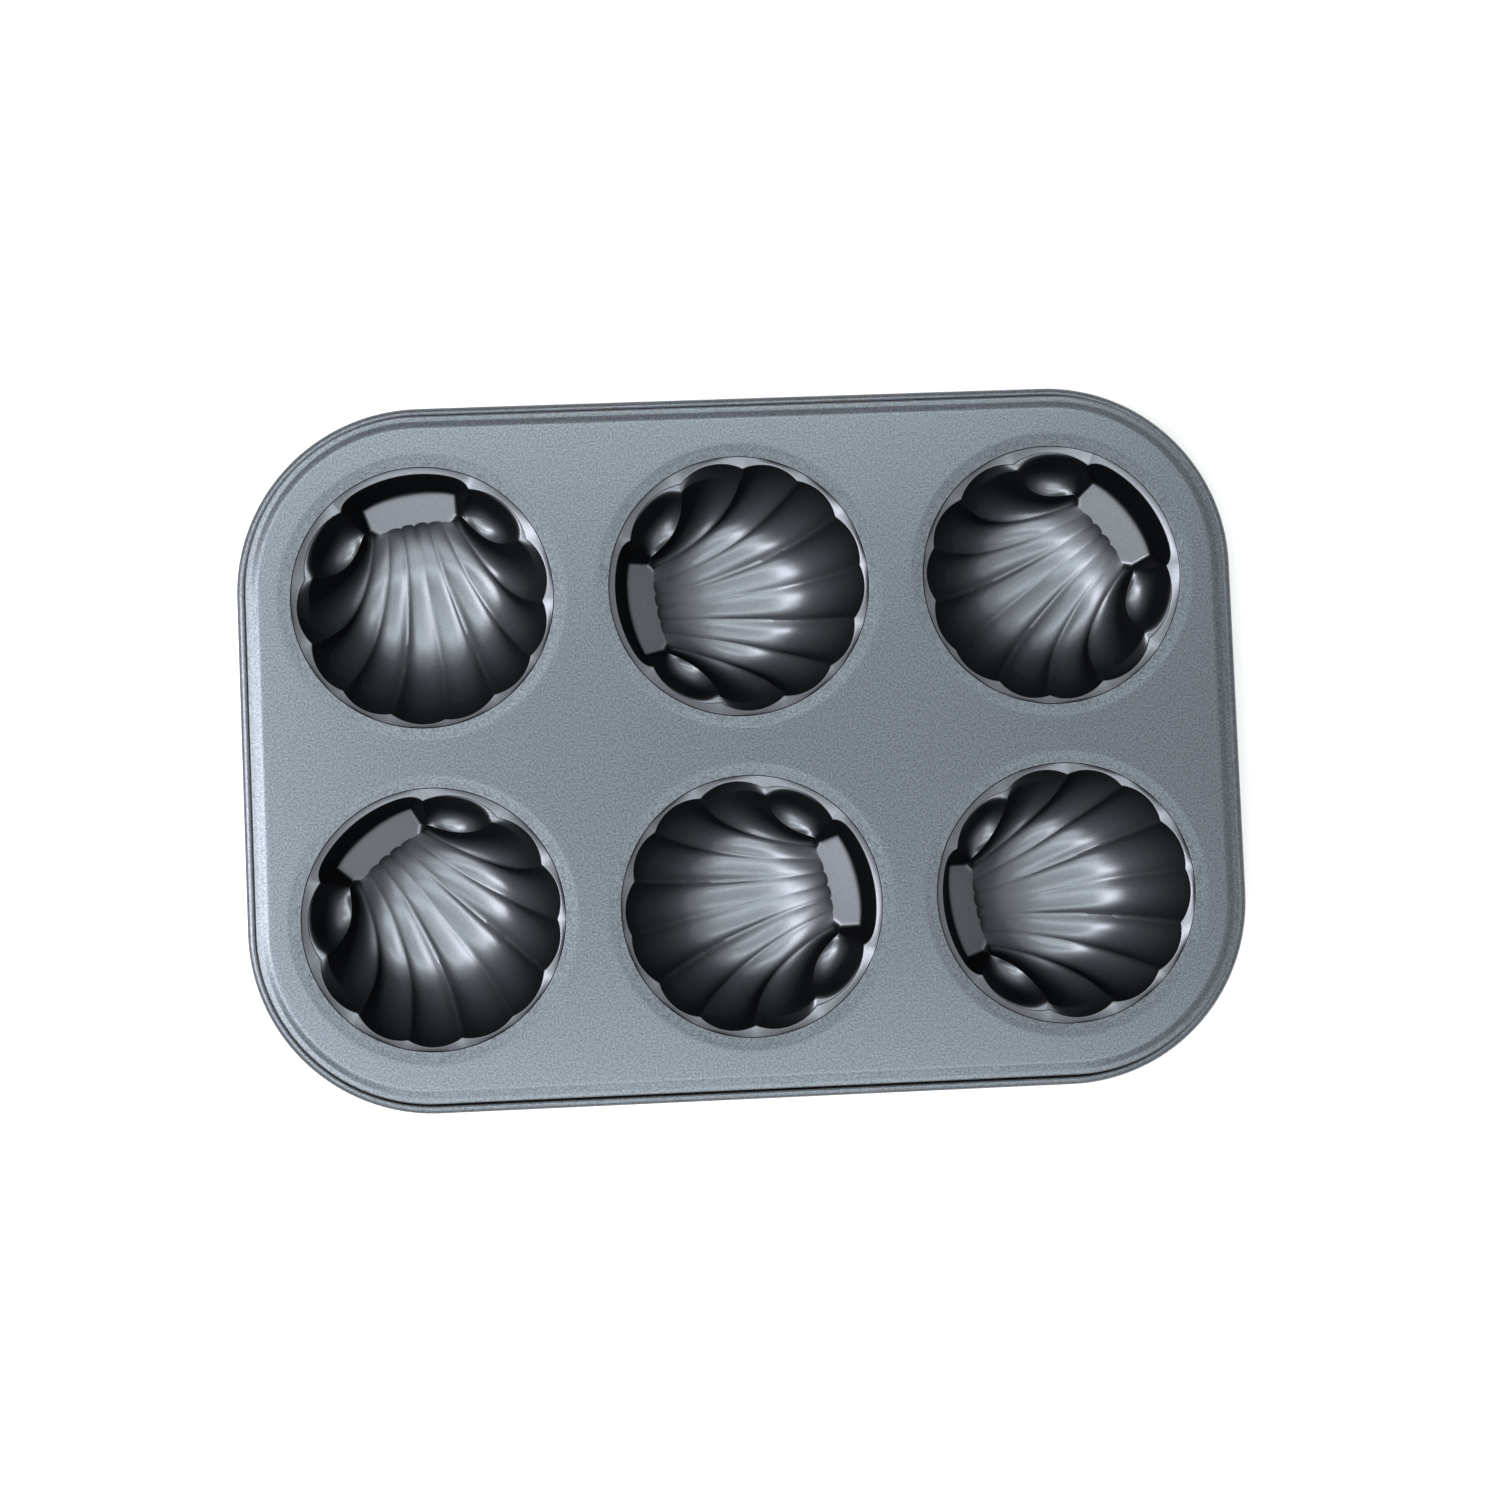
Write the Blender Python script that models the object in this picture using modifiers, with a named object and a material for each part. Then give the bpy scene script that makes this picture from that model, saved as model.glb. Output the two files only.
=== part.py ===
"""Shell cake pan: a pressed tray plate with a wired edge, and six pressed shell cups locked into its round holes.

Metres, +Z up. The pan stands on its six cups, and the origin is on the table under the middle of the pan.
X runs along the long side. Each cup is pressed in the same tool and seamed in at its own angle.
"""

import math

import bmesh
import bpy
from mathutils import Matrix, Vector

# Sheet and clearances
plate_sheet = 0.0005
cup_sheet = 0.0004
seam_clearance = 0.0003
wire_clearance = 0.0003

# Cup holes and the metal left between and around them
seam_radius = 0.0343
web_along = 0.0140
web_across = 0.0152
border_along = 0.0147
border_across = 0.01645
corner_border = 0.0143

# Plate round each hole
dish_width = 0.0031
dish_drop = 0.0003
collar_drop = 0.0028
lock_lip = 0.0016

# Rim of the plate, from the flat top outwards
shoulder_run = 0.0023
shoulder_drop = 0.0009
ledge_width = 0.0010
edge_round = 0.0004
rim_depth = 0.0071
skirt_lean = 0.0007
wire_radius = 0.0007
curl_sweep = math.radians(290)

# Shell cup: the land outside the lobes, how far the mouth lies below the seam, and the depth
land_width = 0.0011
land_drop = 0.0010
cup_depth = 0.0266

# Fineness
corner_steps = 7
curl_steps = 5
seam_sides = 28
lobe_stations = (0.0, 0.18, 0.5, 0.82)
ear_stations = (0.0, 0.22, 0.5, 0.78)
row_stations = (0.0, 0.08, 0.25, 0.47, 0.69, 0.87, 1.0)
bar_stations = (0.0, 0.28, 0.58, 0.70, 0.82, 0.92, 1.0)
wire_sides_resolution = 1
merge_distance = 0.000001

# Each cup's place in the grid of holes (column, row) and the direction of its hinge bar
cup_layout = {
    "cup_back_left": (-1, 1, 98.5),
    "cup_back_middle": (0, 1, 188.0),
    "cup_back_right": (1, 1, 35.75),
    "cup_front_left": (-1, -1, 126.75),
    "cup_front_middle": (0, -1, 11.5),
    "cup_front_right": (1, -1, 188.75),
}

# Sizes that follow
hole_radius = seam_radius + seam_clearance
pitch_along = 2 * hole_radius + web_along
pitch_across = 2 * hole_radius + web_across
half_length = pitch_along + hole_radius + border_along
half_width = pitch_across / 2 + hole_radius + border_across
corner_radius = hole_radius + corner_border
curl_radius = wire_radius + wire_clearance
edge_inset = skirt_lean + 2 * curl_radius + plate_sheet
flat_inset = edge_inset + edge_round + ledge_width + shoulder_run
lip_face = dish_drop + collar_drop
mouth_depth = dish_drop + land_drop
mouth_radius = seam_radius - land_width

# Plan of the shell, hinge bar at +Y, in shares of the mouth radius, for the right half.
# Each crest runs from the hinge line past a bend to its cusp: start, bend, cusp angle, cusp inset, height.
crest_lines = (
    ((0.398, 0.645), (0.460, 0.702), 57.0, 0.066, 1.0),
    ((0.398, 0.645), (0.566, 0.241), 19.2, 0.066, 1.0),
    ((0.331, 0.637), (0.482, -0.150), -12.0, 0.061, 1.0),
    ((0.220, 0.645), (0.316, -0.090), -39.0, 0.038, 0.7),
    ((0.111, 0.648), (0.157, -0.060), -64.3, 0.051, 1.0),
    ((0.000, 0.648), (0.000, -0.180), -90.0, 0.024, 0.1),
)
last_crest = 2 * len(crest_lines) - 2
# How far the tips of the ear and of the lobes stay inside the mouth radius
tip_insets = (0.015, 0.007, 0.001, 0.001, 0.001)
# The hinge bar's edge: inset in the middle and at the corner, and how the edge gets there
bar_inset, bar_corner_inset = 0.0175, 0.066
bar_spread, bar_corner_power = 0.0105, 10
bar_half_angle = math.radians(90 - crest_lines[0][2])
bowl_middle = Vector((0.0, 0.075))
hinge_reach = 0.904
swell_power = 1.4

# Section of the shell
fullness_down, fullness_side = 2.5, 3.0
share_at_hinge, share_at_mouth, share_power = 0.04, 0.20, 0.9
flute_width_at_hinge, flute_width_at_mouth = 0.108, 0.450
flute_section = 3.5
flute_end_power = 8
fade_on_crest, fade_in_flute = 0.10, 0.022
platform_edge, platform_run = 0.648, 0.208
platform_front, platform_back = 0.0160, 0.0110
back_slope, back_slope_gain, end_slope = 2.6, 1.4, 1.6
ear_floor, ear_section, ear_start = 0.0139, 2.0, 0.10
ear_fullness, shelf_fullness, shelf_falloff = 8, 5.5, 4


def clear_scene():
    for old in list(bpy.data.objects):
        bpy.data.objects.remove(old, do_unlink=True)


def coating(name, colour, roughness, metallic):
    """A plain surface for one part."""
    material = bpy.data.materials.new(name)
    material.use_nodes = True
    shader = material.node_tree.nodes["Principled BSDF"]
    shader.inputs["Base Color"].default_value = (*colour, 1.0)
    shader.inputs["Roughness"].default_value = roughness
    shader.inputs["Metallic"].default_value = metallic
    return material


def add_part(name, data, material, collection):
    part = bpy.data.objects.new(name, data)
    part.data.materials.append(material)
    collection.objects.link(part)
    return part


def polar(angle, radius):
    return Vector((radius * math.cos(angle), radius * math.sin(angle)))


def loop_edges(geometry):
    return [piece for piece in geometry if isinstance(piece, bmesh.types.BMEdge)]


def draw_out(bm, edges, move):
    """Extrudes a run of edges and moves each new point with the function given."""
    made = bmesh.ops.extrude_edge_only(bm, edges=edges)["geom"]
    for piece in made:
        if isinstance(piece, bmesh.types.BMVert):
            piece.co = move(piece.co)
    return loop_edges(made)


def add_sheet(bm, name, thickness, material, collection):
    """Turns the face side of a pressed piece, drawn as an open surface, into sheet of the given thickness."""
    bmesh.ops.recalc_face_normals(bm, faces=bm.faces)
    bm.faces.ensure_lookup_table()
    if max(bm.faces, key=lambda face: abs(face.normal.z) * face.calc_area()).normal.z < 0:
        bmesh.ops.reverse_faces(bm, faces=bm.faces)
    data = bpy.data.meshes.new(name)
    bm.to_mesh(data)
    bm.free()
    part = add_part(name, data, material, collection)
    sheet = part.modifiers.new("Sheet", "SOLIDIFY")
    sheet.thickness = thickness
    sheet.offset = -1.0
    sheet.use_even_offset = True
    sheet.use_quality_normals = True
    return part


# Tray plate

def rim_point(place, inset, height):
    """The point that lies this far inside the pan's outline, straight across the rim from the place given."""
    core_x = half_length - corner_radius
    core_y = half_width - corner_radius
    core = Vector((min(max(place.x, -core_x), core_x), min(max(place.y, -core_y), core_y)))
    across = (Vector((place.x, place.y)) - core).normalized()
    point = core + across * (corner_radius - inset)
    return Vector((point.x, point.y, height))


def rim_ring(inset, height):
    """The pan's outline, drawn in by the inset: four corner arcs and the straight sides between them."""
    ring = []
    for corner in range(4):
        side_x = 1 if corner in (0, 3) else -1
        side_y = 1 if corner in (0, 1) else -1
        middle = Vector((side_x * (half_length - corner_radius), side_y * (half_width - corner_radius)))
        for step in range(corner_steps + 1):
            angle = math.radians(90) * (corner + step / corner_steps)
            point = middle + polar(angle, corner_radius - inset)
            ring.append(Vector((point.x, point.y, height)))
    return ring


def rim_profile():
    """Inset from the outline and height below the flat top, from the shoulder to the end of the curl."""
    edge_height = -shoulder_drop - edge_round
    profile = [
        (flat_inset - 0.4 * shoulder_run, -0.3 * shoulder_drop),
        (flat_inset - shoulder_run, -shoulder_drop),
        (edge_inset + edge_round, -shoulder_drop),
        (edge_inset, edge_height),
    ]
    curl_inset = edge_inset - skirt_lean - curl_radius
    for step in range(curl_steps + 1):
        angle = math.pi + curl_sweep * step / curl_steps
        inset = curl_inset - curl_radius * math.cos(angle)
        profile.append((inset, -rim_depth + curl_radius * math.sin(angle)))
    return profile


def cup_places():
    for name, (column, row, bar_direction) in cup_layout.items():
        place = Vector((column * pitch_along, row * pitch_across / 2, 0.0))
        yield name, place, math.radians(bar_direction - 90)


def add_plate(material, collection):
    """The plate: a flat top, six dished holes with collars and lock lips, and a rim that ends in a curl."""
    bm = bmesh.new()
    outline = [bm.verts.new(point) for point in rim_ring(flat_inset, 0.0)]
    rim = [bm.edges.new((first, second)) for first, second in zip(outline, outline[1:] + outline[:1])]
    holes = []
    for _, place, turn in cup_places():
        matrix = Matrix.Translation(place) @ Matrix.Rotation(turn, 4, "Z")
        circle = bmesh.ops.create_circle(
            bm, segments=seam_sides, radius=hole_radius + dish_width, matrix=matrix)["verts"]
        edges = list({edge for vert in circle for edge in vert.link_edges})
        holes.append((place, edges))
    bmesh.ops.triangle_fill(bm, edges=bm.edges[:], use_beauty=True)
    for place, edges in holes:
        for radius, height in (
            (hole_radius, -dish_drop),
            (hole_radius, -lip_face),
            (hole_radius + lock_lip, -lip_face),
        ):
            def move(point, radius=radius, height=height):
                across = Vector((point.x - place.x, point.y - place.y, 0.0)).normalized()
                return place + across * radius + Vector((0.0, 0.0, height))
            edges = draw_out(bm, edges, move)
            edges = [edge for edge in edges if edge.is_boundary]
    for inset, height in rim_profile():
        rim = draw_out(bm, rim, lambda point: rim_point(point, inset, height))
        rim = [edge for edge in rim if edge.is_boundary]
    return add_sheet(bm, "tray_plate", plate_sheet, material, collection)


def add_rim_wire(material, collection):
    """The steel wire that the curl is rolled round, bent to the pan's outline and joined into a ring."""
    data = bpy.data.curves.new("rim_wire", "CURVE")
    data.dimensions = "3D"
    data.bevel_depth = wire_radius
    data.bevel_resolution = wire_sides_resolution
    ring = rim_ring(curl_radius + plate_sheet, -rim_depth)
    spline = data.splines.new("POLY")
    spline.points.add(len(ring) - 1)
    for point, place in zip(spline.points, ring):
        point.co = (*place, 1.0)
    spline.use_cyclic_u = True
    return add_part("rim_wire", data, material, collection)


# Shell cups

def crest(index, along):
    """A point of one crest in plan. Crests run from the right ear round to the left ear, and mirror in the middle."""
    side = 1 if index < len(crest_lines) else -1
    start, bend, angle, inset, _ = crest_lines[min(index, last_crest - index)]
    cusp = polar(math.radians(angle), 1 - inset)
    if index in (0, last_crest):
        bend = Vector(start).lerp(cusp, 0.5)
    point = (1 - along) ** 2 * Vector(start) + 2 * along * (1 - along) * Vector(bend) + along ** 2 * cusp
    return Vector((side * point.x, point.y))


def platform(place):
    """Depth of the hinge bar's platform, a plane that rises from the hinge line to the back wall."""
    return platform_front + (platform_back - platform_front) * (place.y - platform_edge) / platform_run


def shelf(along):
    """Depth of the crest that bounds an ear on the side of the lobes."""
    foot = platform(crest(0, 0.0))
    return mouth_depth + (foot - mouth_depth) * (1 - along ** shelf_fullness)


def bar_reach(share):
    """How far the bar's edge lies from the middle, at a share of the way round to its corner."""
    corner_drop = (bar_spread + bar_corner_inset - bar_inset) * min(abs(share), 1) ** bar_corner_power
    return 1 - bar_inset + bar_spread * share ** 2 - corner_drop


def bar_depth(place):
    """Depth in the hinge bar's pocket: a sloping platform, a steep wall behind it and one at each end."""
    point = Vector((abs(place.x), place.y))
    share = math.atan2(point.x, point.y) / bar_half_angle
    slope = back_slope + back_slope_gain * share ** 2
    back = mouth_depth + slope * mouth_radius * (bar_reach(share) - point.length)
    foot, notch = crest(0, 0.0), crest(0, 1.0)
    ridge_way = (notch - foot).normalized()
    from_foot = (point - foot).dot(ridge_way)
    from_ridge = max((point.y - foot.y) * ridge_way.x - (point.x - foot.x) * ridge_way.y, 0.0)
    ridge = platform(foot) + (mouth_depth - platform(foot)) * from_foot / (notch - foot).length
    return min(platform(point), back, ridge + end_slope * mouth_radius * from_ridge)


def bar_path(start, share, along):
    """Plan and depth of a column of the hinge bar, from the hinge line to the mouth."""
    angle = math.pi / 2 - share * bar_half_angle
    place = start.lerp(polar(angle, bar_reach(share)), along)
    return place, mouth_depth if along == 1 else bar_depth(place)


def bowl(place, along, end):
    """Depth of the smooth bowl that carries the flutes, at a place on the way to the mouth point given."""
    way = place - bowl_middle
    reach = (1 - along) * hinge_reach + along * (end - bowl_middle).length
    fullness = fullness_down + (fullness_side - fullness_down) * abs(way.x) / way.length
    floor = cup_depth - share_at_mouth * flute_width_at_mouth * mouth_radius / 2
    return mouth_depth + (floor - mouth_depth) * (1 - (way.length / reach) ** fullness)


def channel_plan(channel, across, along):
    """Plan of a point in a lobe or an ear, between two crests, swelling outwards at the mouth."""
    middle = (crest(channel, 1.0) + crest(channel + 1, 1.0)) / 2
    tip = 1 - tip_insets[min(channel, last_crest - 1 - channel)]
    swell = (tip - middle.length) * 4 * across * (1 - across) * along ** swell_power
    place = crest(channel, along).lerp(crest(channel + 1, along), across)
    return place + place.normalized() * swell


def lobe_depth(channel, across, along):
    """Depth in a lobe: the bowl, with a flat-bottomed hollow between two thin crests."""
    place, end = channel_plan(channel, across, along), channel_plan(channel, across, 1.0)
    width = (crest(channel, along) - crest(channel + 1, along)).length
    common = flute_width_at_hinge + (flute_width_at_mouth - flute_width_at_hinge) * along
    share = share_at_hinge + (share_at_mouth - share_at_hinge) * along ** share_power
    hollow = 1 - (1 - 2 * min(across, 1 - across)) ** flute_section
    nearer = channel if across < 0.5 else channel + 1
    height = crest_lines[min(nearer, last_crest - nearer)][4]
    grown = share * mouth_radius / 2 * (1 - along ** flute_end_power)
    depth = bowl(place, along, end) + grown * (hollow * width - (1 - hollow) * common * height)
    fade = fade_on_crest + (fade_in_flute - fade_on_crest) * hollow
    start = channel_plan(channel, across, 0.0)
    return depth + (platform(start) - bowl(start, 0.0, end)) * math.exp(-along / fade)


def lobe_path(channel, across, along):
    """Plan and depth of a point in a lobe. Beside an ear, the lobe's edge is carried up to the ear's shelf."""
    if along == 0:
        # On the hinge line a flute's columns close on the nearer crest, which rounds the flute's start.
        left_half = channel >= last_crest // 2
        past_middle = across >= 0.5 if left_half else across > 0.5
        start = crest(channel + past_middle, 0.0)
        return start, platform(start)
    depth = lobe_depth(channel, across, along)
    for beside_ear, edge, nearness in ((1, 0.0, 1 - across), (last_crest - 2, 1.0, across)):
        if channel == beside_ear:
            depth += (shelf(along) - lobe_depth(channel, edge, along)) * nearness ** shelf_falloff
    return channel_plan(channel, across, along), depth


def ear_path(channel, across, along):
    """Plan and depth of a point in an ear: a shallow oval floor between the shelf and the ridge of the bar."""
    to_shelf = across if channel == 0 else 1 - across
    foot = platform(crest(0, 0.0))
    ridge = foot + (mouth_depth - foot) * along
    sides = (1 - to_shelf) * ridge + to_shelf * shelf(along)
    floor = foot + (ear_floor - foot) * (1 - math.exp(-along / ear_start))
    floor = mouth_depth + (floor - mouth_depth) * (1 - along ** ear_fullness)
    plateau = 1 - abs(2 * across - 1) ** ear_section
    return channel_plan(channel, across, along), sides + plateau * (floor - sides)


def cup_columns():
    """The columns round the cup, each a list of plan and depth at the stations from the hinge line to the mouth."""
    columns = []
    for channel in range(last_crest):
        ear = channel in (0, last_crest - 1)
        path = ear_path if ear else lobe_path
        for across in ear_stations if ear else lobe_stations:
            columns.append([path(channel, across, along) for along in row_stations])
    columns.append([ear_path(last_crest - 1, 1.0, along) for along in row_stations])
    hinge_end = crest(1, 0.0).x
    for index in range(last_crest - 2, 1, -1):
        start = crest(index, 0.0)
        columns.append([bar_path(start, start.x / hinge_end, along) for along in bar_stations])
    return columns


def seam_rows():
    """Radius and depth of the cup's edge: the land, the skirt and the fold that grips the plate's lock lip."""
    leg = lip_face + seam_clearance
    riser = hole_radius + lock_lip + seam_clearance
    over_lip = lip_face - plate_sheet - seam_clearance
    return (
        (seam_radius, dish_drop),
        (seam_radius, leg),
        (riser, leg),
        (riser, over_lip),
        (hole_radius + plate_sheet + seam_clearance, over_lip),
    )


def cup_mesh(material):
    """One shell cup, hinge bar at +Y and the plate's top at Z = 0, as a solid mesh that the six cups share."""
    columns = cup_columns()
    edge_rows = seam_rows()
    shell_rows = len(row_stations)
    rows = shell_rows + len(edge_rows)
    deepest = max(depth for column in columns for _, depth in column)
    stretch = (cup_depth - mouth_depth) / (deepest - mouth_depth)
    bm = bmesh.new()
    bmesh.ops.create_grid(bm, x_segments=len(columns), y_segments=rows - 1, size=1.0)
    for vert in bm.verts:
        column = round((vert.co.x + 1) / 2 * len(columns)) % len(columns)
        row = round((vert.co.y + 1) / 2 * (rows - 1))
        if row < shell_rows:
            plan, depth = columns[column][row]
            height = -mouth_depth - (depth - mouth_depth) * stretch
            vert.co = (plan.x * mouth_radius, plan.y * mouth_radius, height)
            continue
        mouth, _ = columns[column][-1]
        side = round(math.atan2(mouth.y, mouth.x) / math.tau * seam_sides)
        radius, depth = edge_rows[row - shell_rows]
        point = polar(math.tau * side / seam_sides, radius)
        vert.co = (point.x, point.y, -depth)
    bmesh.ops.remove_doubles(bm, verts=bm.verts, dist=merge_distance)
    pattern = bpy.data.collections.new("pattern")
    master = add_sheet(bm, "cup", cup_sheet, material, pattern)
    bpy.context.scene.collection.children.link(pattern)
    graph = bpy.context.evaluated_depsgraph_get()
    solid = bpy.data.meshes.new_from_object(master.evaluated_get(graph))
    bpy.data.objects.remove(master, do_unlink=True)
    bpy.data.collections.remove(pattern)
    return solid


def main():
    clear_scene()
    pan = bpy.data.collections.new("shell_cake_pan")
    bpy.context.scene.collection.children.link(pan)
    plate_finish = coating("plate_coating", (0.225, 0.240, 0.255), 0.42, 0.75)
    cup_finish = coating("cup_coating", (0.100, 0.105, 0.112), 0.35, 0.75)
    wire_finish = coating("wire_steel", (0.560, 0.560, 0.570), 0.35, 1.0)
    cup = cup_mesh(cup_finish)
    stand = -min(vert.co.z for vert in cup.vertices)
    plate = add_plate(plate_finish, pan)
    plate.location.z = stand
    wire = add_rim_wire(wire_finish, pan)
    wire.location.z = stand
    for name, place, turn in cup_places():
        part = bpy.data.objects.new(name, cup)
        pan.objects.link(part)
        part.location = place + Vector((0.0, 0.0, stand))
        part.rotation_euler.z = turn
    for part in pan.objects:
        if part.type == "MESH":
            part.data.shade_smooth()
            part.data.set_sharp_from_angle(angle=math.radians(35))


main()
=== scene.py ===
"""Shell cake pan on a pale table: a satin grey tray plate with a wired edge and six dark fluted shell cups.

Metres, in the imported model's frame. The pan stands on its cups, with the origin on the table
under its middle.
"""

import math

import bmesh
import bpy
import numpy as np
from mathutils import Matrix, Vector


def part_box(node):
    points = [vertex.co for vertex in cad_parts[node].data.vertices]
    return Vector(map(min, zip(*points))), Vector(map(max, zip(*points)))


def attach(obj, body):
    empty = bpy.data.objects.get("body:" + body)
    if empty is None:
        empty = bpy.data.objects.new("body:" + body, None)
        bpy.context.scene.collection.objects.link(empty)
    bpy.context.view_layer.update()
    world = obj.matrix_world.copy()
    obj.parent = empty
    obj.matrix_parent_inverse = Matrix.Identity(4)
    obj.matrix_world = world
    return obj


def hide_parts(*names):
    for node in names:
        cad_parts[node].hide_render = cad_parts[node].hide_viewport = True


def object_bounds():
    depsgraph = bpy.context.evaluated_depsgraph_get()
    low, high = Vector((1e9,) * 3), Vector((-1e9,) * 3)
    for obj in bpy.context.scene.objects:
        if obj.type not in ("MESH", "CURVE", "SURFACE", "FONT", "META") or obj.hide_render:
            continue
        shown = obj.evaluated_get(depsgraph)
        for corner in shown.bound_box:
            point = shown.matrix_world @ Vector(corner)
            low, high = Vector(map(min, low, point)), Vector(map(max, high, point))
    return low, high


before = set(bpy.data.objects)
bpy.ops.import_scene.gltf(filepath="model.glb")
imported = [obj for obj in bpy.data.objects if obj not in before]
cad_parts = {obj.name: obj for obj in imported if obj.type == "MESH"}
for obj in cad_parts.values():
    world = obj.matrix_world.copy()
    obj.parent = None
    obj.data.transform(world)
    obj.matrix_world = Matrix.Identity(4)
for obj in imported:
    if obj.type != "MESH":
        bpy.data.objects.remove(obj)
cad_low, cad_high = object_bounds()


# The photographer's table: a white sheet under the pan and a white room around it. A large soft lamp on the
# left draws the bright streaks in the cups, and a smaller one in front and two overhead tubes fill them.

_, plate_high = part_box("tray_plate")
plate_top = plate_high.z


def put_lamp(name, place, aim, size, power, colour=(1.0, 1.0, 1.0)):
    """A rectangular soft lamp that faces the point given."""
    data = bpy.data.lights.new(name, "AREA")
    data.shape = "RECTANGLE"
    data.size, data.size_y = size
    data.energy = power
    data.color = colour
    lamp = bpy.data.objects.new(name, data)
    bpy.context.scene.collection.objects.link(lamp)
    lamp.location = place
    lamp.rotation_euler = (Vector(aim) - Vector(place)).to_track_quat("-Z", "Y").to_euler()


pan_middle = (0, 0, 0)
rosy_white, greenish_white = (1.0, 0.96, 0.98), (0.94, 1.0, 0.98)
put_lamp("lamp_left", (-0.88, 0.0, 1.00), pan_middle, (0.45, 0.95), 16.0, rosy_white)
put_lamp("lamp_front", (-0.10, -0.90, 0.85), pan_middle, (0.90, 0.60), 5.5)
tube_x, tube_height, tube_size = -0.20, 1.20, (1.30, 0.07)
for name, reach, power in (("tube_front", -0.36, 7.4), ("tube_back", 0.44, 6.9)):
    put_lamp(name, (tube_x, reach, tube_height), (tube_x, 0, 0), tube_size, power, greenish_white)

room = bpy.data.worlds.new("white_room")
bpy.context.scene.world = room
room.use_nodes = True
nodes, links = room.node_tree.nodes, room.node_tree.links
room_light = nodes["Background"]
room_light.inputs["Color"].default_value = (1, 1, 1, 1)
room_light.inputs["Strength"].default_value = 0.62
room_white = nodes.new("ShaderNodeBackground")
room_white.inputs["Color"].default_value = (1, 1, 1, 1)
room_white.inputs["Strength"].default_value = 1.0
ray = nodes.new("ShaderNodeLightPath")
seen = nodes.new("ShaderNodeMath")
seen.operation = "MAXIMUM"
links.new(ray.outputs["Is Camera Ray"], seen.inputs[0])
links.new(ray.outputs["Is Glossy Ray"], seen.inputs[1])
seen_through = nodes.new("ShaderNodeMath")
seen_through.operation = "MAXIMUM"
links.new(seen.outputs[0], seen_through.inputs[0])
links.new(ray.outputs["Is Transmission Ray"], seen_through.inputs[1])
choose = nodes.new("ShaderNodeMixShader")
links.new(seen_through.outputs[0], choose.inputs["Fac"])
links.new(room_light.outputs[0], choose.inputs[1])
links.new(room_white.outputs[0], choose.inputs[2])
links.new(choose.outputs[0], nodes["World Output"].inputs["Surface"])

table_side, table_shade, table_roughness = 4.0, 0.93, 0.75
bpy.ops.object.select_all(action="DESELECT")
bpy.ops.mesh.primitive_plane_add(size=table_side, location=(0, 0, cad_low.z))
table = bpy.context.object
table.name = "table"
bpy.ops.object.transform_apply()
table_white = bpy.data.materials.new("table_white")
table_white.use_nodes = True
table_shader = table_white.node_tree.nodes["Principled BSDF"]
table_shader.inputs["Base Color"].default_value = (table_shade, table_shade, table_shade, 1)
table_shader.inputs["Roughness"].default_value = table_roughness
table.data.materials.append(table_white)

# The camera looks almost straight down, a little from the front left.
camera_place = (-0.0256, -0.02485, plate_top + 0.58812)
camera_turn = (2.4015, -2.4975, -2.3703)
photo_side = 1500
focal_pixels = 2240
lens_data = bpy.data.cameras.new("camera")
lens_data.sensor_width = 36.0
lens_data.lens = focal_pixels / photo_side * lens_data.sensor_width
lens_data.clip_start = 0.01
camera = bpy.data.objects.new("camera", lens_data)
bpy.context.scene.collection.objects.link(camera)
camera.location = camera_place
camera.rotation_euler = [math.radians(angle) for angle in camera_turn]
bpy.context.scene.camera = camera
bpy.context.scene.view_settings.view_transform = "Standard"


# Tray plate: one sheet of half-millimetre steel with a satin grey non-stick coating. Its holes are dished
# and turned down into collars, and its edge steps down over a soft shoulder and rolls up round a wire.

plate_sheet = 0.0005
flat_margin = 0.0006
corner_steps, edge_steps, curl_steps = 40, 5, 30

# The rim, from the flat top outwards
shoulder_run, shoulder_drop, shoulder_curve = 0.0023, 0.0006, 0.6
ledge_width = 0.0010
edge_round = 0.0004
rim_depth = 0.0071
skirt_lean = 0.0007
wire_radius = 0.0007
wire_clearance = 0.0003
curl_radius = wire_radius + wire_clearance
curl_sweep = math.radians(290)
half_length, half_width = plate_high.x, plate_high.y
edge_inset = skirt_lean + 2 * curl_radius + plate_sheet
flat_inset = edge_inset + edge_round + ledge_width + shoulder_run

# The holes
seam_radius = 0.0343
hole_margin, corner_margin = 0.0001, 0.0146
hole_radius = seam_radius + hole_margin
dish_width, dish_drop = 0.0034, 0.0003
dish_brow, dish_brow_drop = 0.0004, 0.00002
collar_brow = 0.0002
collar_drop = 0.0028
collar_round = 0.00015
lock_lip = 0.0016
lip_face = dish_drop + collar_drop
corner_radius = seam_radius + corner_margin
core_x, core_y = half_length - corner_radius, half_width - corner_radius

# The cups, one for each hole, and the direction of each one's hinge bar, in degrees
bar_directions = {
    "cup_back_left": 98.5,
    "cup_back_middle": 188.0,
    "cup_back_right": 35.75,
    "cup_front_left": 126.75,
    "cup_front_middle": 11.5,
    "cup_front_right": 188.75,
}


def hole_place(node):
    """The middle of a cup's hole, which is the middle of the pitch grid and so of the cup's own box."""
    low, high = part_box(node)
    return Vector(((low.x + high.x) / 2, (low.y + high.y) / 2, plate_top))


def take(*objects):
    """Leaves only these objects selected, the first of them active."""
    bpy.ops.object.select_all(action="DESELECT")
    for obj in objects:
        obj.select_set(True)
    bpy.context.view_layer.objects.active = objects[0]


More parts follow.
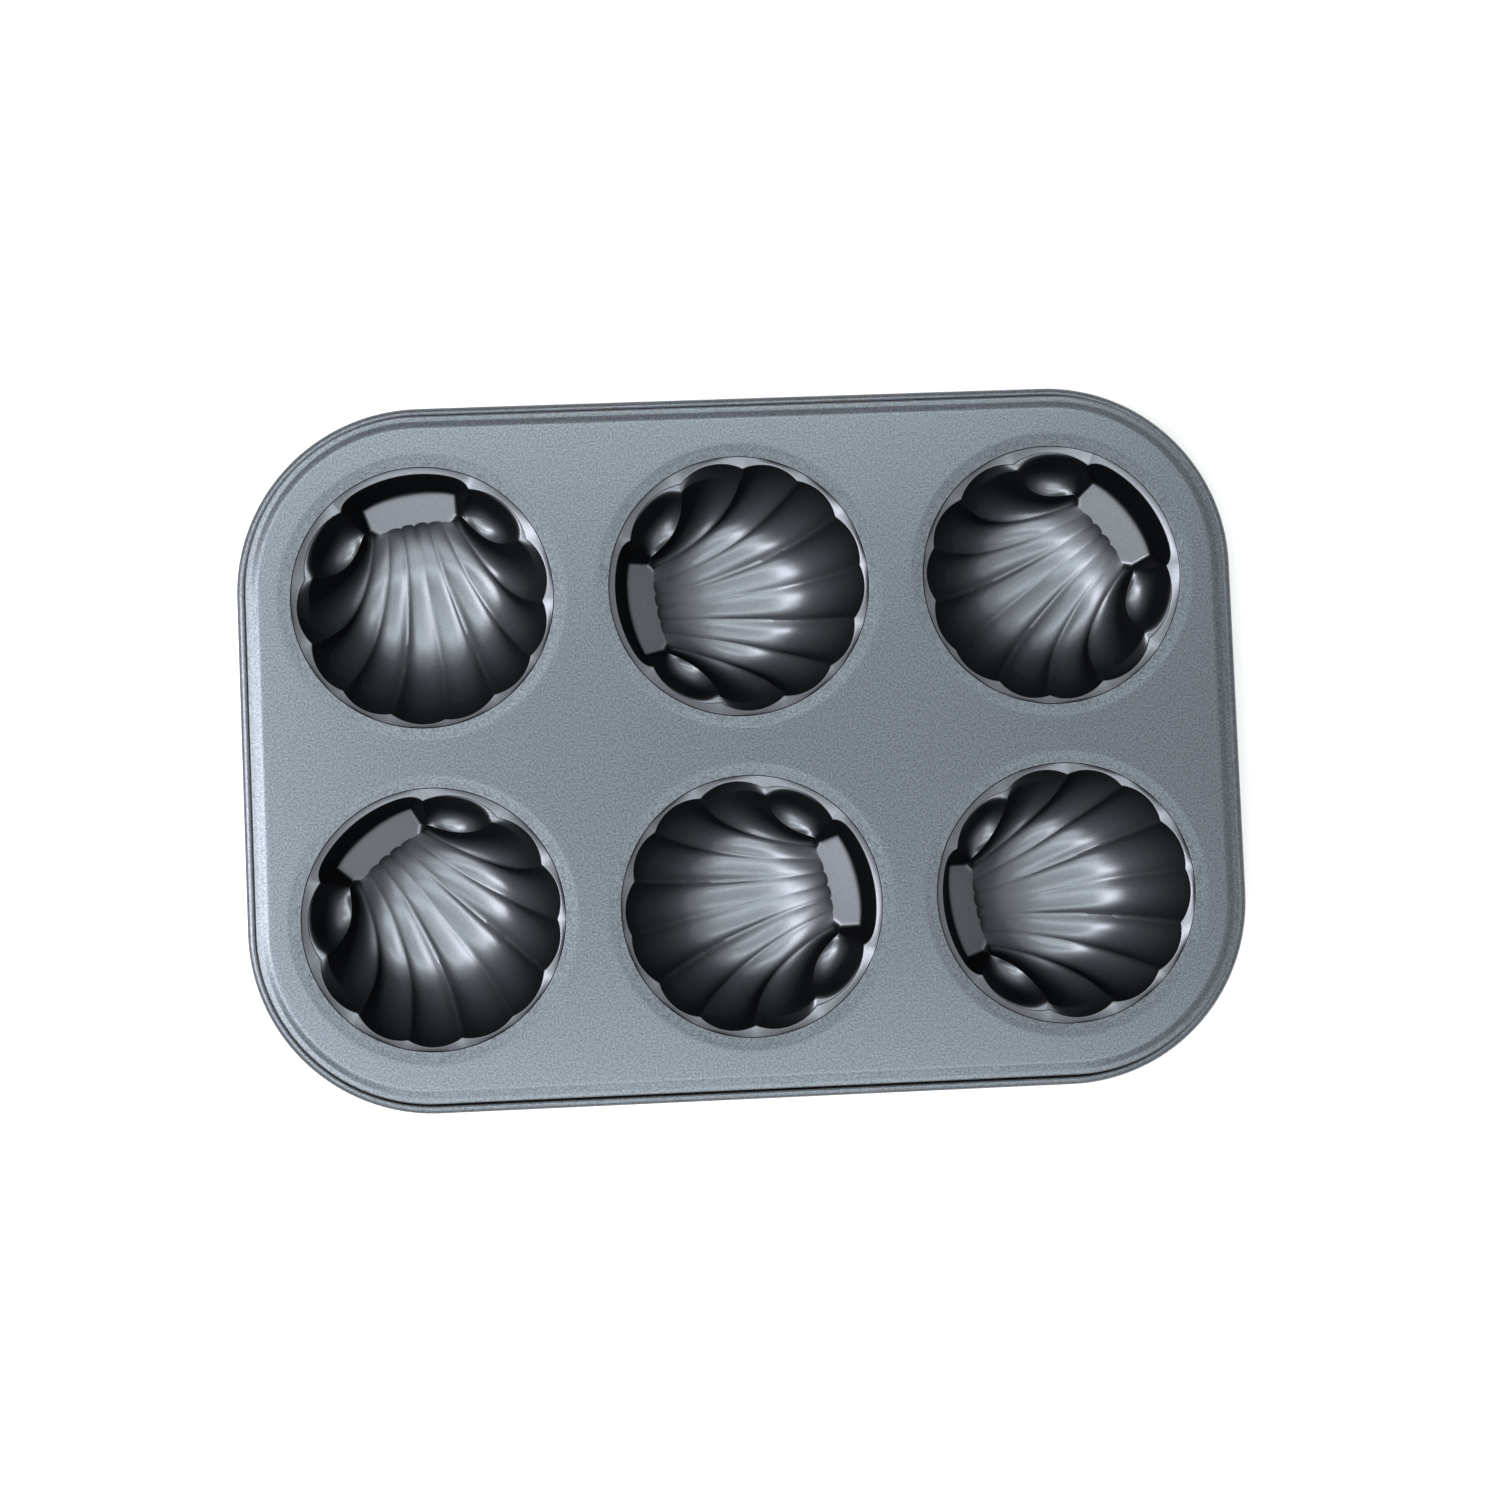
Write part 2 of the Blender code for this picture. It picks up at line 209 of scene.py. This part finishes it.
def draw_section(name, points):
    """A section drawn as a chain of edges, from points given as (x, y, z), in edit mode and all selected."""
    data = bpy.data.meshes.new(name)
    data.from_pydata(points, [(k, k + 1) for k in range(len(points) - 1)], [])
    obj = bpy.data.objects.new(name, data)
    bpy.context.scene.collection.objects.link(obj)
    take(obj)
    bpy.ops.object.mode_set(mode="EDIT")
    bpy.ops.mesh.select_all(action="SELECT")
    return obj


def leave_edit():
    bpy.ops.object.mode_set(mode="OBJECT")


def arc(middle, radius, start, end, steps):
    """Points of an arc in the section plane, angles in degrees."""
    angles = np.radians(np.linspace(start, end, steps + 1))
    return [(middle[0] + radius * math.cos(a), middle[1] + radius * math.sin(a)) for a in angles]


# Section of the rim as (inset from the outline, height over the plate's top)
rim_section = [(flat_inset + flat_margin, 0.0)]
shoulder_steps = 10
for step in range(shoulder_steps + 1):
    share = step / shoulder_steps
    rim_section.append((flat_inset - shoulder_run * share,
                        -shoulder_drop * ((1 + shoulder_curve) * share ** 2 - shoulder_curve * share ** 4)))
rim_section += arc((edge_inset + edge_round, -shoulder_drop - edge_round), edge_round, 90, 180, edge_steps)
curl_middle = (edge_inset - skirt_lean - curl_radius, -rim_depth)
rim_section += arc(curl_middle, curl_radius, 0, -math.degrees(curl_sweep), curl_steps)

section = [(core_x + corner_radius - inset, core_y, plate_top + height) for inset, height in rim_section]
plate = draw_section("tray_plate_dressed", section)
for quarter in range(4):
    side_x = 1 if quarter in (0, 3) else -1
    side_y = 1 if quarter in (0, 1) else -1
    bpy.ops.mesh.spin(steps=corner_steps, angle=math.radians(90),
                      center=(side_x * core_x, side_y * core_y, 0), axis=(0, 0, -1))
    straight = ((-2 * core_x, 0, 0), (0, -2 * core_y, 0), (2 * core_x, 0, 0), (0, 2 * core_y, 0))[quarter]
    bpy.ops.mesh.extrude_region_move(TRANSFORM_OT_translate={"value": straight})
leave_edit()

# One dished hole, spun from its section and copied to the six places
hole_section = [(hole_radius + dish_width + flat_margin, 0.0)]
hole_section += [(hole_radius + dish_width, 0.0)]
hole_section += [(hole_radius + dish_width - dish_brow, -dish_brow_drop)]
hole_section += [(hole_radius + collar_round + collar_brow, -dish_drop)]
collar_middle = (hole_radius + collar_round, -dish_drop - collar_round)
hole_section += arc(collar_middle, collar_round, 90, 180, edge_steps)
hole_section += [(hole_radius, -lip_face), (hole_radius + lock_lip, -lip_face)]
hole = draw_section("hole", [(radius, 0, plate_top + height) for radius, height in hole_section])
hole_sides = 144
bpy.ops.mesh.spin(steps=hole_sides, angle=math.tau, center=(0, 0, 0), axis=(0, 0, 1))
leave_edit()
holes = []
for node in bar_directions:
    copy = hole.copy()
    copy.data = hole.data.copy()
    bpy.context.scene.collection.objects.link(copy)
    place = hole_place(node)
    copy.location = (place.x, place.y, 0)
    holes.append(copy)
bpy.data.objects.remove(hole, do_unlink=True)
take(plate, *holes)
bpy.ops.object.join()
bpy.ops.object.mode_set(mode="EDIT")
bpy.ops.mesh.select_all(action="SELECT")
weld_distance, level_tolerance = 0.00001, 0.000001
bpy.ops.mesh.remove_doubles(threshold=weld_distance)
bpy.ops.mesh.select_all(action="DESELECT")
bm = bmesh.from_edit_mesh(plate.data)
for edge in bm.edges:
    level = all(abs(vert.co.z - plate_top) < level_tolerance for vert in edge.verts)
    if level and edge.is_boundary:
        edge.select_set(True)
bmesh.update_edit_mesh(plate.data)
bpy.ops.mesh.fill(use_beauty=True)
bpy.ops.mesh.select_all(action="SELECT")
bpy.ops.mesh.normals_make_consistent(inside=False)
bm = bmesh.from_edit_mesh(plate.data)
if max(bm.faces, key=lambda face: face.calc_area()).normal.z < 0:
    bpy.ops.mesh.flip_normals()
leave_edit()


def give_wall(obj, thickness, even):
    """Turns a pressed face, drawn as an open surface, into sheet of the given thickness."""
    take(obj)
    wall = obj.modifiers.new("Sheet", "SOLIDIFY")
    wall.thickness = thickness
    wall.offset = -1.0
    wall.use_even_offset = even
    wall.use_quality_normals = True
    bpy.ops.object.modifier_apply(modifier=wall.name)


give_wall(plate, plate_sheet, even=True)
plate_crease = math.radians(28)
bpy.ops.object.shade_smooth_by_angle(angle=plate_crease)

# Painted shade on steep faces: full where the normal's upward share is the first of these, and none where it
# is the second
painted_shade_full_below, painted_shade_none_above = 0.32, 0.84
flake_detail, flake_roughness = 3.0, 0.65
darkest_flake, lightest_flake = 0.30, 0.70
gloss_spread = 0.05


def coating(name, dark, light, speckle_size, speckle_bump, roughness, metallic, steepest_painted_shade, edge_tint):
    """A non-stick coating: fine flakes in a grey coat, with a slight orange-peel.

    Its colour is darkened on steep faces as painted shade, and kept full on level ones.
    """
    material = bpy.data.materials.new(name)
    material.use_nodes = True
    tree = material.node_tree
    shader = tree.nodes["Principled BSDF"]
    place = tree.nodes.new("ShaderNodeTexCoord")
    flakes = tree.nodes.new("ShaderNodeTexNoise")
    flakes.inputs["Scale"].default_value = 1 / speckle_size
    flakes.inputs["Detail"].default_value = flake_detail
    flakes.inputs["Roughness"].default_value = flake_roughness
    tree.links.new(place.outputs["Object"], flakes.inputs["Vector"])
    shades = tree.nodes.new("ShaderNodeValToRGB")
    shades.color_ramp.elements[0].position = darkest_flake
    shades.color_ramp.elements[0].color = (*dark, 1)
    shades.color_ramp.elements[1].position = lightest_flake
    shades.color_ramp.elements[1].color = (*light, 1)
    tree.links.new(flakes.outputs["Fac"], shades.inputs["Fac"])
    facing = tree.nodes.new("ShaderNodeSeparateXYZ")
    tree.links.new(place.outputs["Normal"], facing.inputs[0])
    level = tree.nodes.new("ShaderNodeMath")
    level.operation = "ABSOLUTE"
    tree.links.new(facing.outputs["Z"], level.inputs[0])
    # Painted shade: the flake colour is darkened where the face is steep, by the normal's upward share
    painted_shade_by_slope = tree.nodes.new("ShaderNodeMapRange")
    painted_shade_by_slope.interpolation_type = "SMOOTHSTEP"
    painted_shade_by_slope.inputs["From Min"].default_value = painted_shade_full_below
    painted_shade_by_slope.inputs["From Max"].default_value = painted_shade_none_above
    painted_shade_by_slope.inputs["To Min"].default_value = steepest_painted_shade
    painted_shade_by_slope.inputs["To Max"].default_value = 1.0
    tree.links.new(level.outputs[0], painted_shade_by_slope.inputs["Value"])
    shaded_flakes = tree.nodes.new("ShaderNodeVectorMath")
    shaded_flakes.operation = "SCALE"
    tree.links.new(shades.outputs["Color"], shaded_flakes.inputs[0])
    tree.links.new(painted_shade_by_slope.outputs["Result"], shaded_flakes.inputs["Scale"])
    tree.links.new(shaded_flakes.outputs[0], shader.inputs["Base Color"])
    worn = tree.nodes.new("ShaderNodeMapRange")
    worn.inputs["To Min"].default_value = roughness - gloss_spread
    worn.inputs["To Max"].default_value = roughness + gloss_spread
    tree.links.new(flakes.outputs["Fac"], worn.inputs["Value"])
    tree.links.new(worn.outputs["Result"], shader.inputs["Roughness"])
    bump = tree.nodes.new("ShaderNodeBump")
    bump.inputs["Strength"].default_value = 1.0
    bump.inputs["Distance"].default_value = speckle_bump
    tree.links.new(flakes.outputs["Fac"], bump.inputs["Height"])
    tree.links.new(bump.outputs["Normal"], shader.inputs["Normal"])
    shader.inputs["Metallic"].default_value = metallic
    shader.inputs["Specular Tint"].default_value = (edge_tint, edge_tint, edge_tint, 1)
    return material


# Painted shade takes the plate's colour down to half on its steep faces: the edge's skirt and curl and the
# holes' collars.
plate_coating = coating("plate_coating", dark=(0.048, 0.054, 0.062), light=(0.130, 0.146, 0.166),
                        speckle_size=0.0005, speckle_bump=0.00002, roughness=0.34, metallic=0.9,
                        steepest_painted_shade=0.5, edge_tint=1.0)
plate.data.materials.clear()
plate.data.materials.append(plate_coating)
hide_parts("tray_plate")
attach(plate, "root")


# Rim wire: round drawn steel wire, bent to the plate's outline, butted and rolled into the plate's edge.
# Only its underside shows, in the narrow gap where the curl ends.

wire_ring = []
wire_reach = corner_radius - curl_radius - plate_sheet
for quarter in range(4):
    side_x = 1 if quarter in (0, 3) else -1
    side_y = 1 if quarter in (0, 1) else -1
    for step in range(corner_steps + 1):
        angle = math.radians(90) * (quarter + step / corner_steps)
        wire_ring.append((side_x * core_x + wire_reach * math.cos(angle),
                          side_y * core_y + wire_reach * math.sin(angle), plate_top - rim_depth))
wire_curve = bpy.data.curves.new("rim_wire_dressed", "CURVE")
wire_curve.dimensions = "3D"
wire_curve.bevel_depth = wire_radius
wire_curve.bevel_resolution = 4
spline = wire_curve.splines.new("POLY")
spline.points.add(len(wire_ring) - 1)
for point, place in zip(spline.points, wire_ring):
    point.co = (*place, 1.0)
spline.use_cyclic_u = True
wire = bpy.data.objects.new("rim_wire_dressed", wire_curve)
bpy.context.scene.collection.objects.link(wire)
take(wire)
bpy.ops.object.convert(target="MESH")
wire = bpy.context.object
wire.name = "rim_wire_dressed"
bpy.ops.object.shade_smooth()
wire_steel = coating("wire_steel", dark=(0.42, 0.42, 0.43), light=(0.60, 0.60, 0.61),
                     speckle_size=0.0006, speckle_bump=0.00001, roughness=0.34, metallic=1.0,
                     steepest_painted_shade=1.0, edge_tint=1.0)
wire.data.materials.clear()
wire.data.materials.append(wire_steel)
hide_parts("rim_wire")
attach(wire, "root")


# Shell cups: six pressings from one tool, in thinner steel with a smoother non-stick coating, darkened on
# steep walls by painted shade.
# Each has a land round its scalloped mouth and a skirt folded over the plate's lip, and is seamed in
# at its own angle.

cup_sheet = 0.0004
seam_clearance = 0.0003
land_width, land_drop = 0.0011, 0.0010
mouth_round = 0.0004
mouth_radius = seam_radius - land_width
mouth_depth = dish_drop + land_drop
wall_top = mouth_depth + mouth_round
cup_depth = plate_top - cup_sheet

# Plan of the shell, hinge bar at +Y, in shares of the mouth radius, for the right half.
# Each crest runs from the hinge line past a bend to its cusp: start, bend, cusp angle, cusp inset, height.
# The first, which parts the ear from the hinge bar, is straight and has no bend.
crest_lines = (
    ((0.398, 0.645), None, 57.0, 0.066, 1.0),
    ((0.398, 0.645), (0.575, 0.310), 19.2, 0.066, 1.0),
    ((0.331, 0.637), (0.600, -0.100), -12.0, 0.061, 1.0),
    ((0.220, 0.645), (0.385, -0.120), -39.0, 0.038, 0.7),
    ((0.111, 0.648), (0.157, -0.060), -64.3, 0.051, 1.0),
    ((0.000, 0.648), (0.000, -0.180), -90.0, 0.024, 0.1),
)
last_crest = 2 * len(crest_lines) - 2
# How far the tips of the ear and of the lobes stay inside the mouth radius
tip_insets = (0.015, 0.007, 0.001, 0.001, 0.001)
# The hinge bar's edge: inset in the middle and at the corner, and how the edge gets there
bar_inset, bar_corner_inset = 0.0175, 0.066
bar_spread, bar_corner_power = 0.0105, 10
bowl_middle = np.array((0.0, 0.075))
hinge_reach = 0.98
bar_half_angle = math.radians(90 - crest_lines[0][2])

# Section of the shell
# The bowl up to the hinge, to the sides and down: where its flat middle ends, and how softly it turns up
flat_ends = np.array((0.33, 0.55, 0.56))
flat_softness = np.array((0.25, 0.12, 0.20))
middle_softness = 0.08
wall_share, wall_power = 0.19, 6
share_at_hinge, share_at_mouth, share_power = 0.01, 0.20, 0.9
flute_width_at_hinge, flute_width_at_mouth = 0.108, 0.450
flute_section = 3.0
crest_round = 0.10
least_distance, least_height = 1e-6, 1e-7
fade_on_crest, fade_in_flute = 0.034, 0.020
flute_end_power = 6
swell_power = 1.4
start_arch, arched_half_width, arch_power = 0.20, 0.26, 14
platform_front, platform_back = 0.0171, 0.0127
platform_edge = 0.648
platform_run = 0.208
ridge_foot = 0.0130
back_slope, back_corner_slope, end_slope = 3.5, 6.0, 2.0
end_sharpness, back_sharpness = 24, 16
# Each ear is an oval hollow beside its crest: middle, direction, half length, half widths and fullness
ear_middle, ear_direction = (0.560, 0.540), math.radians(-50)
ear_half_length, ear_outer_width, ear_inner_width, ear_end_power = 0.350, 0.222, 0.300, 10
ear_length_power, ear_width_power = 2.5, 2.2
ear_floor, ear_tilt, ear_start = 0.0141, 0.25, 0.20
shelf_falloff, ridge_falloff = 1.8, 3

# Fineness of the mesh
lobe_columns, ear_columns = 16, 20
wall_rows = 88
row_crowding = 0.72
round_rows = 4


def crest(index, along):
    """One crest in plan, at shares of the way from the hinge line to its cusp."""
    side = 1 if index < len(crest_lines) else -1
    start, bend, angle, inset, _ = crest_lines[min(index, last_crest - index)]
    angle = math.radians(angle)
    cusp = ((1 - inset) * math.cos(angle), (1 - inset) * math.sin(angle))
    if bend is None:
        bend = [(a + b) / 2 for a, b in zip(start, cusp)]
    start, bend, cusp = np.array(start), np.array(bend), np.array(cusp)
    along = np.asarray(along, float)[..., None]
    point = (1 - along) ** 2 * start + 2 * along * (1 - along) * bend + along ** 2 * cusp
    return point * np.array((side, 1.0))


def crest_height(index):
    return crest_lines[min(index, last_crest - index)][4]


def hollow(across):
    """Depth of a flute's hollow, 0 on the rounded crests at its sides and 1 in the middle."""
    near = 2 * min(across, 1 - across)
    rounded = math.sqrt(near ** 2 + crest_round ** 2) - crest_round
    soft = rounded / (math.sqrt(1 + crest_round ** 2) - crest_round)
    return 1 - (1 - soft) ** flute_section


def bowl(place, along, end):
    """Depth of the smooth bowl that carries the flutes: a flat middle, an even slope and a steep wall."""
    way = place - bowl_middle
    distance = np.hypot(way[:, 0], way[:, 1])
    aim = way / np.maximum(distance, least_distance)[:, None]
    toward = np.stack([np.maximum(aim[:, 1], 0) ** 2, aim[:, 0] ** 2, np.minimum(aim[:, 1], 0) ** 2], 1)
    flat_end, softness = toward @ flat_ends, toward @ flat_softness
    reach = (1 - along) * hinge_reach + along * np.hypot(*(end - bowl_middle))
    out = np.hypot(distance, middle_softness) - middle_softness
    out = out / (np.hypot(reach, middle_softness) - middle_softness)

    def slope(part):
        return part - flat_end + np.hypot(part - flat_end, softness)

    even_rise = (slope(out) - slope(0)) / (slope(1) - slope(0))
    rise = (1 - wall_share) * even_rise + wall_share * out ** wall_power
    floor = cup_depth - share_at_mouth * flute_width_at_mouth * mouth_radius / 2
    return wall_top + (floor - wall_top) * (1 - rise)


def platform(place):
    """Depth of the hinge bar's platform, a plane that rises from the hinge line to the back wall."""
    share = (place[..., 1] - platform_edge) / platform_run
    return platform_front + (platform_back - platform_front) * share


def bar_reach(share):
    """How far the hinge bar's edge lies from the middle, at a share of the way round to its corner."""
    to_corner = np.minimum(np.abs(share), 1)
    corner_drop = (bar_spread + bar_corner_inset - bar_inset) * to_corner ** bar_corner_power
    return 1 - bar_inset + bar_spread * share ** 2 - corner_drop


def lesser(one, other, sharpness):
    """The lesser of two heights, rounded where they cross."""
    both = np.maximum(np.stack([one, other]), least_height) ** -float(sharpness)
    return both.sum(0) ** (-1 / sharpness)


def bar_depth(place):
    """Depth of the hinge bar's pocket: a sloping platform, with a steep wall behind it and at each end."""
    side, forward = np.abs(place[..., 0]), place[..., 1]
    share = np.arctan2(side, forward) / bar_half_angle
    steepness = back_slope + (back_corner_slope - back_slope) * np.minimum(share, 1) ** 2
    back = steepness * mouth_radius * (bar_reach(share) - np.hypot(side, forward))
    foot, notch = crest(0, 0.0), crest(0, 1.0)
    length = np.hypot(*(notch - foot))
    run, rise = (notch - foot) / length
    from_foot = np.maximum((side - foot[0]) * run + (forward - foot[1]) * rise, 0)
    from_ridge = np.maximum((forward - foot[1]) * run - (side - foot[0]) * rise, 0)
    end = (ridge_foot - wall_top) * (1 - from_foot / length) + end_slope * mouth_radius * from_ridge
    flat = platform(place) - wall_top
    return wall_top + lesser(back, lesser(end, flat, end_sharpness), back_sharpness)


def flute_plan(channel, across, along):
    """Plan of a column in a lobe or an ear. It swells outwards at the mouth, and a lobe's start is arched."""
    first, second = crest(channel, along), crest(channel + 1, along)
    middle = (crest(channel, 1.0) + crest(channel + 1, 1.0)) / 2
    ear = channel in (0, last_crest - 1)
    tip = 1 - tip_insets[min(channel, last_crest - 1 - channel)]
    swell = (tip - np.hypot(*middle)) * 4 * across * (1 - across) * along ** swell_power
    plan = first * (1 - across) + second * across
    plan = plan + plan / np.hypot(plan[..., 0], plan[..., 1])[..., None] * swell[..., None]
    if not ear:
        first_start, second_start = crest(channel, 0.0), crest(channel + 1, 0.0)
        width = np.hypot(*(first_start - second_start))
        arch = start_arch * width * math.sqrt(max(0.0, 1 - (2 * across - 1) ** 2))
        arch *= max(0.0, 1 - ((first_start[0] + second_start[0]) / 2 / arched_half_width) ** 2)
        plan[..., 1] += arch * (1 - along) ** arch_power
    return plan


def flute_depth(channel, across, along, plan):
    """Depth of a column in a lobe: the bowl, with a flat-bottomed hollow between two thin crests."""
    width = np.hypot(*(crest(channel, along) - crest(channel + 1, along)).T)
    common = flute_width_at_hinge + (flute_width_at_mouth - flute_width_at_hinge) * along
    share = share_at_hinge + (share_at_mouth - share_at_hinge) * along ** share_power
    shape = hollow(across)
    grown = share * mouth_radius / 2 * (1 - along ** flute_end_power)
    height = crest_height(channel if across < 0.5 else channel + 1)
    depth = bowl(plan, along, plan[-1]) + grown * (shape * width - (1 - shape) * common * height)
    fade = fade_on_crest + (fade_in_flute - fade_on_crest) * shape
    return depth + (bar_depth(plan[0]) - depth[0]) * np.exp(-along / fade)


def ear_depth(plan, along):
    """Depth of an ear's oval hollow, which starts at the hinge line's end and ends at the mouth."""
    side = np.abs(plan[:, 0]) - ear_middle[0]
    forward = plan[:, 1] - ear_middle[1]
    lengthwise = side * math.cos(ear_direction) + forward * math.sin(ear_direction)
    crosswise = forward * math.cos(ear_direction) - side * math.sin(ear_direction)
    half_width = np.where(crosswise > 0, ear_outer_width, ear_inner_width)
    out = (np.abs(lengthwise) / ear_half_length) ** ear_length_power
    out = out + (np.abs(crosswise) / half_width) ** ear_width_power
    floor = ear_floor - ear_tilt * mouth_radius * crosswise
    hollow_depth = wall_top + (floor - wall_top) * np.maximum(1 - out, 0)
    foot = bar_depth(crest(0, 0.0))
    level = foot + (hollow_depth - foot) * (1 - np.exp(-(along / ear_start) ** 2))
    return wall_top + (level - wall_top) * (1 - along ** ear_end_power)


def lobe_column(channel, across, along):
    """Plan and depth of a column in a lobe. Beside an ear its edge is carried up to the ear's floor."""
    plan = flute_plan(channel, across, along)
    depth = flute_depth(channel, across, along, plan)
    for beside_ear, edge, nearness in ((1, 0.0, 1 - across), (last_crest - 2, 1.0, across)):
        if channel == beside_ear:
            edge_plan = flute_plan(channel, edge, along)
            rise = ear_depth(edge_plan, along) - flute_depth(channel, edge, along, edge_plan)
            depth = depth + rise * nearness ** shelf_falloff
    return plan, depth


def ear_column(channel, across, along):
    """Plan and depth of a column in an ear. By the hinge bar its edge is carried up to the bar's ridge."""
    plan = flute_plan(channel, across, along)
    ridge, to_ridge = (0, 1 - across) if channel == 0 else (last_crest, across)
    ridge_plan = crest(ridge, along)
    rise = bar_depth(ridge_plan) - ear_depth(ridge_plan, along)
    return plan, ear_depth(plan, along) + rise * to_ridge ** ridge_falloff


def bar_column(start, share, along):
    """A column of the hinge bar, from the hinge line to the mouth."""
    angle = math.pi / 2 - share * bar_half_angle
    end = bar_reach(share) * np.array((math.cos(angle), math.sin(angle)))
    plan = start + (end - start) * along[:, None]
    return plan, bar_depth(plan)


evenly = np.linspace(0, 1, wall_rows)
rows_along = evenly - row_crowding / math.tau * np.sin(math.tau * evenly)
columns = []
for channel in range(last_crest):
    ear = channel in (0, last_crest - 1)
    count = ear_columns if ear else lobe_columns
    for step in range(count):
        make = ear_column if ear else lobe_column
        columns.append(make(channel, step / count, rows_along))
lobe_starts = [plan[0] for plan, _ in columns[ear_columns:-ear_columns]] + [crest(last_crest - 1, 0.0)]
reach_of_hinge = abs(lobe_starts[0][0])
for start in lobe_starts[:0:-1]:
    columns.append(bar_column(start, start[0] / reach_of_hinge, rows_along))
plans = np.array([plan for plan, _ in columns]) * mouth_radius
depths = np.array([depth for _, depth in columns])
depths = wall_top + (depths - wall_top) * (cup_depth - wall_top) / (depths.max() - wall_top)

# The rounded mouth, the land up to the seam, and the skirt with its fold over the plate's lip
mouth = plans[:, -1]
bearing = np.unwrap(np.arctan2(mouth[:, 1], mouth[:, 0]))
outward = np.stack([np.cos(bearing), np.sin(bearing)], 1)
edge_rows = []
for step in range(1, round_rows + 1):
    angle = math.radians(90) * step / round_rows
    edge_rows.append((mouth + outward * mouth_round * (1 - math.cos(angle)),
                      mouth_depth + mouth_round * (1 - math.sin(angle))))
leg = lip_face + seam_clearance
riser = hole_radius + lock_lip + seam_clearance
over_lip = lip_face - plate_sheet - seam_clearance
land_edge = 0.0001
for radius, depth in ((seam_radius - land_edge, dish_drop), (seam_radius, dish_drop + land_edge),
                      (seam_radius, leg), (riser, leg), (riser, over_lip),
                      (hole_radius + plate_sheet + seam_clearance, over_lip)):
    edge_rows.append((outward * radius, np.full(len(bearing), depth)))
row_count = wall_rows + len(edge_rows)
points = np.zeros((len(columns), row_count, 3))
points[:, :wall_rows, :2] = plans
points[:, :wall_rows, 2] = plate_top - depths
for step, (plan, depth) in enumerate(edge_rows):
    points[:, wall_rows + step, :2] = plan
    points[:, wall_rows + step, 2] = plate_top - depth

bpy.ops.object.select_all(action="DESELECT")
bpy.ops.mesh.primitive_grid_add(x_subdivisions=len(columns), y_subdivisions=row_count - 1, size=2.0)
pressing = bpy.context.object
grid = np.empty(len(pressing.data.vertices) * 3)
pressing.data.vertices.foreach_get("co", grid)
grid = grid.reshape(-1, 3)
column = np.round((grid[:, 0] + 1) / 2 * len(columns)).astype(int) % len(columns)
row = np.round((grid[:, 1] + 1) / 2 * (row_count - 1)).astype(int)
pressing.data.vertices.foreach_set("co", points[column, row].ravel())
pressing.data.update()
bpy.ops.object.mode_set(mode="EDIT")
bpy.ops.mesh.select_all(action="SELECT")
cup_weld = 0.000002
bpy.ops.mesh.remove_doubles(threshold=cup_weld)
bpy.ops.mesh.normals_make_consistent(inside=False)
bm = bmesh.from_edit_mesh(pressing.data)
if sum(face.normal.z * face.calc_area() for face in bm.faces) < 0:
    bpy.ops.mesh.flip_normals()
leave_edit()
give_wall(pressing, cup_sheet, even=False)
cup_crease = math.radians(50)
bpy.ops.object.shade_smooth_by_angle(angle=cup_crease)
# Painted shade takes the cups' colour down to under a tenth on their steep walls.
cup_coating = coating("cup_coating", dark=(0.102, 0.110, 0.122), light=(0.137, 0.148, 0.165),
                      speckle_size=0.0004, speckle_bump=0.000008, roughness=0.37, metallic=0.82,
                      steepest_painted_shade=0.085, edge_tint=0.0)
pressing.data.materials.clear()
pressing.data.materials.append(cup_coating)

for node, bar_direction in bar_directions.items():
    cup = pressing.copy()
    cup.data = pressing.data.copy()
    cup.name = node + "_dressed"
    bpy.context.scene.collection.objects.link(cup)
    place = hole_place(node)
    cup.location = (place.x, place.y, 0)
    cup.rotation_euler.z = math.radians(bar_direction - 90)
    take(cup)
    bpy.ops.object.transform_apply()
    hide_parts(node)
    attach(cup, "root")
bpy.data.objects.remove(pressing, do_unlink=True)
